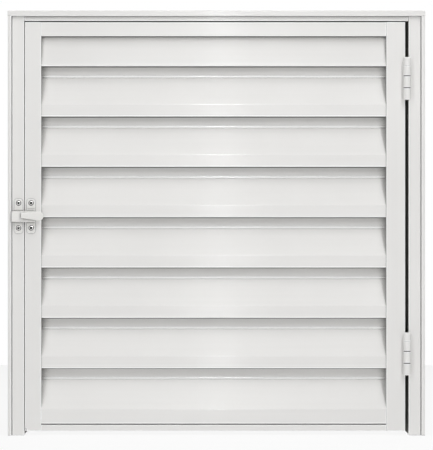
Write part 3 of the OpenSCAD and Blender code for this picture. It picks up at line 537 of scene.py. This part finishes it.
def recessed(name, profile, deep, long, wide):
    """A screw whose head is cut by a tapered cross. Its tone attribute is 1 where shade is painted: in
    the recess and round the rim.
    """
    bm = turned(profile)
    bmesh.ops.recalc_face_normals(bm, faces=bm.faces)
    body = placed(name, mesh_from(bm, name))
    top = profile[-1][1]
    corners = ((-1, -1), (1, -1), (1, 1), (-1, 1))
    low_z, high_z = (top - deep) / 1000, (top + MOUTH_UP) / 1000
    cutters = []
    for turn in (0, math.pi / 2):
        bm = bmesh.new()
        low = [bm.verts.new((x * long * FLOOR_LONG / 2000, y * wide * FLOOR_WIDE / 2000, low_z))
               for x, y in corners]
        high = [bm.verts.new((x * long * MOUTH / 2000, y * wide * MOUTH / 2000, high_z))
                for x, y in corners]
        bm.faces.new(low[::-1])
        bm.faces.new(high)
        for k in range(4):
            bm.faces.new((low[k], low[(k + 1) % 4], high[(k + 1) % 4], high[k]))
        bm.transform(Matrix.Rotation(turn, 4, "Z"))
        cutter = placed("cutter", mesh_from(bm, "cutter"))
        cutters.append(cutter)
        cut = body.modifiers.new("cross", "BOOLEAN")
        cut.operation, cut.object, cut.solver = "DIFFERENCE", cutter, "EXACT"
    done = settled(body)
    for cutter in cutters:
        bpy.data.objects.remove(cutter)
    rim = max(r for r, z in profile)
    tone = done.attributes.new("tone", "FLOAT", "POINT")
    for v, t in zip(done.vertices, tone.data):
        across = math.hypot(v.co.x, v.co.y) * 1000
        inside = v.co.z * 1000 < top - SHADE_DEEP * deep and across < rim * SHADE_IN
        t.value = 1.0 if inside or across > rim * SHADE_OUT else 0.0
    return done


def zinc():
    """Zinc plate: a pale metal with a faint spangle 1 mm across and a soft, slightly patchy shine, with
    near-black painted shade where the tone attribute is 1."""
    m, tree, shader, place = new_material("zinc plated steel")
    shader.inputs["Metallic"].default_value = 1.0
    grain = add(tree, "ShaderNodeTexNoise", {"Scale": 1000 / 1.0, "Detail": 2.0}, {"Vector": place})
    metal = add(tree, "ShaderNodeMix",
                {"data_type": "RGBA", MIX_FIRST: linear("#D9D8D6"), MIX_SECOND: linear("#F6F5F3")},
                {MIX_SHARE: grain.outputs["Fac"]})
    painted_shade = add(tree, "ShaderNodeAttribute", {"attribute_name": "tone"})
    tint = add(tree, "ShaderNodeMix", {"data_type": "RGBA", MIX_SECOND: linear("#0C0C0B")},
               {MIX_SHARE: painted_shade.outputs["Fac"], MIX_FIRST: metal.outputs[MIX_OUT]})
    tree.links.new(tint.outputs[MIX_OUT], shader.inputs["Base Color"])
    rough = add(tree, "ShaderNodeMapRange", {"To Min": 0.28, "To Max": 0.42},
                {"Value": grain.outputs["Fac"]})
    tree.links.new(rough.outputs["Result"], shader.inputs["Roughness"])
    return m


def screw_tree():
    """Sets a screw on each point, turned towards the point's aim."""
    tree, take, give = group_of("screw_set", [("Screw", "NodeSocketObject"), ("Turn", "NodeSocketFloat"),
                                              ("Plate", "NodeSocketMaterial")])
    i = take.outputs
    kind = add(tree, "GeometryNodeObjectInfo", {"transform_space": "ORIGINAL"}, {"Object": i["Screw"]})
    aim = add(tree, "GeometryNodeInputNamedAttribute", {"data_type": "FLOAT_VECTOR", "Name": "aim"})
    face = add(tree, "FunctionNodeAlignRotationToVector", {"axis": "Z"},
               {"Vector": aim.outputs["Attribute"]})
    spin = add(tree, "ShaderNodeCombineXYZ", links={"Z": i["Turn"]})
    spun = add(tree, "FunctionNodeRotateRotation", {"rotation_space": "LOCAL"},
               {"Rotation": face.outputs["Rotation"], "Rotate By": spin.outputs["Vector"]})
    put = add(tree, "GeometryNodeInstanceOnPoints",
              links={"Points": i["Geometry"], "Instance": kind.outputs["Geometry"],
                     "Rotation": spun.outputs["Rotation"]})
    real = add(tree, "GeometryNodeRealizeInstances", links={"Geometry": put.outputs["Instances"]})
    plated = add(tree, "GeometryNodeSetMaterial",
                 links={"Geometry": real.outputs["Geometry"], "Material": i["Plate"]})
    tree.links.new(plated.outputs["Geometry"], give.inputs["Geometry"])
    return tree


plate = zinc()
screws = screw_tree()


def shank(long):
    """A screw from its blunt tip up: 3 mm thick, and narrower in its last millimetre."""
    return [(0, -long), (1.2, -long), (1.5, 1 - long)]


# Profiles are (radius, height over the seat) in mm, followed by the recess's depth, length and width.
dome = [(3.55 * math.cos(a * math.pi / 12), 0.05 + 0.75 * math.sin(a * math.pi / 12)) for a in range(6)]
raised = recessed("raised", shank(9.5) + [(1.5, -1.4), (3.6, -0.1)] + dome + [(0, 0.8)], 1.9, 3.8, 2.2)
sunk = recessed("sunk", shank(9) + [(1.5, -1.45), (3.7, -0.1), (3.7, 0), (3.5, 0), (0, 0)], 1.6, 3.6, 1.0)
pan = recessed("pan", shank(15.8) + [(1.5, 0), (3.35, 0), (3.35, 1.2), (2.9, 1.8), (1.8, 2.1), (0, 2.2)],
               1.5, 3.6, 1.0)


def set_screws(name, kind, places, aim, turn, body, stands_for):
    """Screws of one kind at places in mm in the part's frame, their heads towards aim and their
    crosses turned by turn degrees."""
    mesh = bpy.data.meshes.new(name)
    mesh.from_pydata([[c / 1000 for c in p] for p in places], [], [])
    way = mesh.attributes.new("aim", "FLOAT_VECTOR", "POINT")
    for item in way.data:
        item.vector = aim
    sample = placed("sample", kind)
    done = grown(mesh, screws, {"Screw": sample, "Turn": math.radians(turn), "Plate": plate})
    bpy.data.objects.remove(sample)
    piece(name, done, body, stands_for, 35)


# The latch's screws, on the front of its plates.
KEEPER_X, LATCH_X = -279.5, -261.8
LATCH_SCREW_Z = (293.0, 328.2)
PLATE_FRONT = FACE - 1.6
set_screws("keeper_screw_pair", raised, [(KEEPER_X, PLATE_FRONT, z) for z in LATCH_SCREW_Z],
           (0, -1, 0), 28, "frame", ["keeper_screws"])
set_screws("latch_screw_pair", raised, [(LATCH_X, PLATE_FRONT, z) for z in LATCH_SCREW_Z],
           (0, -1, 0), 62, "door", ["latch_screws"])

# The corner screws go down through the head into ports on the inside of each jamb's outer wall.
FRAME_TOP = 600
JAMB_IN, JAMB_WIDE, JAMB_WALL = 271.5, 23, 1.5
PORT_R, PORT_LAP = 3.4, 0.8
PORT_BACKS = (8, 29)
CORNER_X = JAMB_IN + JAMB_WIDE - JAMB_WALL - PORT_R + PORT_LAP
set_screws("head_corner_screws", sunk,
           [(side * CORNER_X, back + FACE, FRAME_TOP) for side in (-1, 1) for back in PORT_BACKS],
           (0, 0, 1), 15, "frame", ["corner_screws"])

# Each hinge leaf has two screws, sunk into the side that faces the other leaf.
HINGE_X, HALF_GAP = 269.1, 0.4
LEAF_TALL, LEAF_SCREW_BACK, LEAF_SCREW_OFF = 47.8, 11, 14
HINGE_BASES = (("upper", 473.8), ("lower", 85.1))
for side, x, way in (("frame", HINGE_X + HALF_GAP, -1), ("door", HINGE_X - HALF_GAP, 1)):
    for which, base in HINGE_BASES:
        middle = base + LEAF_TALL / 2
        at = [(x, LEAF_SCREW_BACK + FACE, middle + off) for off in (-LEAF_SCREW_OFF, LEAF_SCREW_OFF)]
        set_screws(f"{which}_{side}_leaf_screws", sunk, at, (way, 0, 0), 40, side,
                   [f"{which}_hinge_{side}_screws"])

# The rails' screws go in through the stiles' inner walls, in two ports at each rail's end.
STILE_WALL = 1.4
RAIL_PORT_BACKS = (7.5, 16.5)
RAIL_Z = (573.9, 10.5)
left_x, right_x = OPEN_LEFT - STILE_WALL, OPEN_RIGHT + STILE_WALL
ports = [(back + FACE, z) for back in RAIL_PORT_BACKS for z in RAIL_Z]
set_screws("left_rail_screws", pan, [(left_x, y, z) for y, z in ports], (-1, 0, 0), 20, "door", [])
set_screws("right_rail_screws", pan, [(right_x, y, z) for y, z in ports], (1, 0, 0), 70, "door",
           ["rail_screws"])

# Hinges.
# Each hinge is two extruded leaves on a steel pin, with a capped top and black nylon bushes between
# the knuckles. Leaves and cap are powder coated with the frame; nylon is dull black, and the pin is
# bright drawn steel.
SHARP_FROM = 38


def softened(name, material, edge, steps=2):
    """A whole copy of a CAD node, with its sharp edges rounded by edge mm."""
    bm = made_whole(name)
    sharp = [e for e in bm.edges
             if len(e.link_faces) == 2 and e.calc_face_angle(0) > math.radians(SHARP_FROM)]
    bmesh.ops.bevel(bm, geom=sharp, offset=edge / 1000, offset_type="OFFSET", segments=steps, profile=0.5,
                    affect="EDGES", clamp_overlap=True)
    return mesh_from(bm, name, material)


def nylon():
    """Moulded black nylon: dull, with a fine spark-eroded grain 0.6 mm across from its mould."""
    m, tree, shader, place = new_material("moulded black nylon")
    shader.inputs["IOR"].default_value = 1.53
    grain = add(tree, "ShaderNodeTexNoise", {"Scale": 1000 / 0.6, "Detail": 2.0}, {"Vector": place})
    tint = add(tree, "ShaderNodeMix",
               {"data_type": "RGBA", MIX_FIRST: linear("#060606"), MIX_SECOND: linear("#101011")},
               {MIX_SHARE: grain.outputs["Fac"]})
    tree.links.new(tint.outputs[MIX_OUT], shader.inputs["Base Color"])
    rough = add(tree, "ShaderNodeMapRange", {"To Min": 0.45, "To Max": 0.6},
                {"Value": grain.outputs["Fac"]})
    tree.links.new(rough.outputs["Result"], shader.inputs["Roughness"])
    return m


def bright_steel():
    """Drawn steel: a bright metal, streaked by upright scratches 0.3 mm apart and about 20 mm long."""
    m, tree, shader, place = new_material("bright drawn steel")
    shader.inputs["Metallic"].default_value = 1.0
    drawn = add(tree, "ShaderNodeMapping", {"Scale": (1000 / 0.3, 1000 / 0.3, 1000 / 20)},
                {"Vector": place})
    lines = add(tree, "ShaderNodeTexNoise", {"Scale": 1.0, "Detail": 2.0},
                {"Vector": drawn.outputs["Vector"]})
    tint = add(tree, "ShaderNodeMix",
               {"data_type": "RGBA", MIX_FIRST: linear("#9D9C9A"), MIX_SECOND: linear("#CFCECB")},
               {MIX_SHARE: lines.outputs["Fac"]})
    tree.links.new(tint.outputs[MIX_OUT], shader.inputs["Base Color"])
    rough = add(tree, "ShaderNodeMapRange", {"To Min": 0.2, "To Max": 0.34},
                {"Value": lines.outputs["Fac"]})
    tree.links.new(rough.outputs["Result"], shader.inputs["Roughness"])
    return m


HINGE_EDGE, BUSH_EDGE = 0.2, 0.1
hinge_coat = powder_coat("satin powder coat on hinges", "#ECEBE9", "#E7E6E4", (4, 4, 80), rough=0.32,
                         reach=2.5, thick=1.2)
bush_black, pin_steel = nylon(), bright_steel()
for which in ("upper", "lower"):
    for part, body in (("frame_leaf", "frame"), ("door_leaf", "door"), ("cap", "frame")):
        node = f"{which}_hinge_{part}"
        piece(f"{node}_dressed", softened(node, hinge_coat, HINGE_EDGE), body, [node])
    for part in ("top_bush", "bottom_bush"):
        node = f"{which}_hinge_{part}"
        piece(f"{node}_dressed", softened(node, bush_black, BUSH_EDGE), "door", [node])
    coat([f"{which}_hinge_pin"], pin_steel)

# Slide latch.
# A die-cast surface latch in gloss white enamel: a keeper with a hollow block on the jamb, and on the
# stile a plate that carries a hollow bar. A flat steel bolt slides in the bar, moved by a thumb grip
# on its front. The enamel has flowed a little at every edge, and its colour has a painted highlight at
# every edge and painted shade in its inner corners.
def enamel():
    """Gloss enamel on a casting: white and wet-looking, with clear but slightly wavy highlights, as it
    dried in waves about 6 mm long."""
    m, tree, shader, place = new_material("gloss white enamel on die casting")
    shader.inputs["IOR"].default_value = 1.52
    slow = add(tree, "ShaderNodeTexNoise", {"Scale": 1000 / 25, "Detail": 1.0}, {"Vector": place})
    tint = add(tree, "ShaderNodeMix",
               {"data_type": "RGBA", MIX_FIRST: linear("#ECEBE8"), MIX_SECOND: linear("#E6E5E2")},
               {MIX_SHARE: slow.outputs["Fac"]})
    # Painted shade spreads 4 mm from inner corners and the painted highlight 0.7 mm from outer edges.
    tree.links.new(with_painted_light(tree, place, tint.outputs[MIX_OUT], 4, 0.7), shader.inputs["Base Color"])
    rough = add(tree, "ShaderNodeMapRange", {"To Min": 0.22, "To Max": 0.3},
                {"Value": slow.outputs["Fac"]})
    tree.links.new(rough.outputs["Result"], shader.inputs["Roughness"])
    flow = add(tree, "ShaderNodeTexNoise", {"Scale": 1000 / 6, "Detail": 0.0}, {"Vector": place})
    bump = add(tree, "ShaderNodeBump", {"Strength": 0.2, "Distance": 0.0001},
               {"Height": flow.outputs["Fac"]})
    tree.links.new(bump.outputs["Normal"], shader.inputs["Normal"])
    return m


CAST_EDGE, CAST_STEPS = 0.45, 3
latch_enamel = enamel()
piece("keeper_casting", softened("latch_keeper", latch_enamel, CAST_EDGE, CAST_STEPS), "frame",
      ["latch_keeper"], 40)
piece("latch_casting", softened("latch_body", latch_enamel, CAST_EDGE, CAST_STEPS), "door",
      ["latch_body"], 40)
coat(["bolt", "bolt_spring"], pin_steel)

# The grip's outline is the hull of a big circle at its right and two small ones at its left. Heights
# count from BAR_Z, the middle of the bar, and depths from the frame's front face.
BAR_Z = 309.1
GRIP_LEFT, GRIP_RIGHT = -276.15, -243.85
GRIP_BACK, GRIP_FRONT = -9.5, -14.5
GRIP_ROUND, GRIP_CORNER = 6.6, 1.6
GRIP_RISE, GRIP_TOP, GRIP_LOW = 0.7, 5.8, -2.4
GRIP_SIDES = 72
LEAST_R = 0.05

# The grip's rounding, as how far in from the outline at how far from its back and from its front. A
# quarter of an oval, EDGE_IN by EDGE_DEEP, leads from the side to the front.
BACK_ROUND = ((0.5, 0), (0.12, 0.15), (0.0, 0.5))
FRONT_CROWN = ((3.2, 0.08), (5.2, 0))
EDGE_FROM, EDGE_IN, EDGE_DEEP, EDGE_STEPS = 1.9, 1.5, 1.7, 6

# The stem runs from the bolt's front into the grip's back.
STEM_X, STEM_W, STEM_H = -263.95, 5.0, 3.6
STEM_FROM, STEM_INTO = 7.6, 0.3


def grip_ring(bm, inset, y):
    """The grip's outline at one depth, drawn in by inset mm."""
    circles = [(GRIP_RIGHT - GRIP_ROUND, GRIP_RISE, GRIP_ROUND),
               (GRIP_LEFT + GRIP_CORNER, GRIP_TOP - GRIP_CORNER, GRIP_CORNER),
               (GRIP_LEFT + GRIP_CORNER, GRIP_LOW + GRIP_CORNER, GRIP_CORNER)]
    ring = []
    for k in range(GRIP_SIDES):
        a = 2 * math.pi * k / GRIP_SIDES
        d = Vector((math.cos(a), math.sin(a)))
        x, z, r = max(circles, key=lambda c: c[0] * d.x + c[1] * d.y + c[2])
        r = max(LEAST_R, r - inset)
        ring.append(bm.verts.new(((x + r * d.x) / 1000, (y + FACE) / 1000, (BAR_Z + z + r * d.y) / 1000)))
    return ring


def grip_mesh():
    """The thumb grip with its crowned front, and the stem that joins it to the bolt."""
    bm = bmesh.new()
    levels = [(inset, GRIP_BACK - deep) for inset, deep in BACK_ROUND] + [(0.0, GRIP_FRONT + EDGE_FROM)]
    for k in range(1, EDGE_STEPS + 1):
        a = math.pi / 2 * k / EDGE_STEPS
        levels.append((EDGE_IN * (1 - math.cos(a)), GRIP_FRONT + EDGE_FROM - EDGE_DEEP * math.sin(a)))
    levels += [(inset, GRIP_FRONT + deep) for inset, deep in FRONT_CROWN]
    rings = [grip_ring(bm, inset, y) for inset, y in levels]
    for a, b in zip(rings, rings[1:]):
        for k in range(len(a)):
            n = (k + 1) % len(a)
            bm.faces.new((a[k], a[n], b[n], b[k]))
    bm.faces.new(rings[0])
    bm.faces.new(rings[-1])
    back, front = FACE - STEM_FROM, FACE + GRIP_BACK - STEM_INTO
    stem = bmesh.ops.create_cube(bm, size=1)["verts"]
    for v in stem:
        v.co = Vector(((STEM_X + (v.co.x + 0.5) * STEM_W) / 1000,
                       (back + (v.co.y - 0.5) * (back - front)) / 1000,
                       (BAR_Z + v.co.z * STEM_H) / 1000))
    bmesh.ops.remove_doubles(bm, verts=bm.verts, dist=1e-7)
    return mesh_from(bm, "grip", latch_enamel)


piece("grip_casting", grip_mesh(), "latch", ["thumb_grip"], 50)

# Studio.
# A white paper floor in a white room. Soft boxes light the door from both sides, above and behind,
# and three thin strips in front give the coat its soft bright band down the middle. The camera
# stands 6 m away, level with the middle of the door.
CAMERA_AWAY = 6.0
FRAME_HIGH = 0.6353
SENSOR = 36
VIEW_X, VIEW_Y, VIEW_Z = 0.0001, -0.01525, 0.2972
camera = bpy.data.cameras.new("camera")
camera.sensor_fit = "VERTICAL"
camera.sensor_width = camera.sensor_height = SENSOR
camera.lens = SENSOR * CAMERA_AWAY / FRAME_HIGH
camera.clip_end = 60
eye = placed("camera", camera)
eye.location = (VIEW_X, VIEW_Y - CAMERA_AWAY, VIEW_Z)
eye.rotation_euler = (math.radians(90), 0, 0)
scene.camera = eye


def lamp(name, place, target, size, power, shines=False, lights=True):
    """A soft box that the camera doesn't see. Size is its width and height in metres. One that doesn't
    shine is behind polarising film, so the coat shows no mirror image of it, and one that doesn't
    light is so dim that its mirror image is all that it adds."""
    light = bpy.data.lights.new(name, "AREA")
    light.shape, light.size, light.size_y = "RECTANGLE", size[0], size[1]
    light.energy = power
    o = placed(name, light)
    o.location = place
    o.rotation_euler = (Vector(target) - Vector(place)).to_track_quat("-Z", "Y").to_euler()
    o.visible_camera = False
    o.visible_glossy = shines
    o.visible_diffuse = lights


DOOR_MIDDLE = (0, 0, 0.3)
STRIP_X = 0.006
lamp("left_lamp", (-1.25, -2.3, 1.9), DOOR_MIDDLE, (0.25, 1.2), 16.3)
lamp("right_lamp", (1.25, -2.3, 1.9), DOOR_MIDDLE, (0.25, 1.2), 15.8)
lamp("right_high_lamp", (1.25, -2.3, 3.4), DOOR_MIDDLE, (0.25, 1.6), 40)
lamp("top_lamp", (0, -0.4, 2.6), DOOR_MIDDLE, (1.6, 1.6), 17.5)
lamp("low_strip", (STRIP_X, -1.5, 0.7), (STRIP_X, 0, 0.7), (0.02, 1.4), 1.15, shines=True)
lamp("high_strip", (STRIP_X, -1.5, 1.85), (STRIP_X, 0, 0.3), (0.02, 0.8), 0.38, shines=True)
lamp("middle_strip", (STRIP_X, -1.49, 1.025), (STRIP_X, 0, 1.025), (0.06, 0.35), 5.5, shines=True,
     lights=False)
lamp("back_lamp", (0.6, 2.4, 2.0), DOOR_MIDDLE, (1.2, 1.2), 16)

# The paper gives most of its white as light of its own, so that it renders white, and the rest as
# paper does, which keeps a faint shadow at the door's feet.
FLOOR_REACH = 3
OWN_LIGHT = 0.88
floor_corners = ((-1, -1), (1, -1), (1, 1), (-1, 1))
floor_mesh = bpy.data.meshes.new("floor")
floor_mesh.from_pydata([(x * FLOOR_REACH, y * FLOOR_REACH, 0) for x, y in floor_corners], [],
                       [(0, 1, 2, 3)])
floor = placed("floor", floor_mesh)
paper_white = bpy.data.materials.new("white paper floor")
paper_white.use_nodes = True
tree = paper_white.node_tree
tree.nodes.clear()
paper = add(tree, "ShaderNodeBsdfDiffuse", {"Color": linear("#F2F2F2")})
bright = add(tree, "ShaderNodeEmission", {"Color": (1, 1, 1, 1), "Strength": 1.0})
both = add(tree, "ShaderNodeMixShader", {0: OWN_LIGHT},
           {1: paper.outputs["BSDF"], 2: bright.outputs["Emission"]})
add(tree, "ShaderNodeOutputMaterial", links={"Surface": both.outputs["Shader"]})
floor_mesh.materials.append(paper_white)

# The room is white to the camera and in reflections, and lights nothing.
world = bpy.data.worlds.new("studio")
scene.world = world
world.use_nodes = True
tree = world.node_tree
tree.nodes.clear()
path = add(tree, "ShaderNodeLightPath").outputs
seen = path["Is Camera Ray"]
for kind in ("Is Glossy Ray", "Is Transmission Ray"):
    either = add(tree, "ShaderNodeMath", {"operation": "MAXIMUM"}, {0: seen, 1: path[kind]})
    seen = either.outputs["Value"]
sky = add(tree, "ShaderNodeBackground", {"Color": (1, 1, 1, 1)}, {"Strength": seen})
add(tree, "ShaderNodeOutputWorld", links={"Surface": sky.outputs["Background"]})
scene.view_settings.view_transform = "Standard"
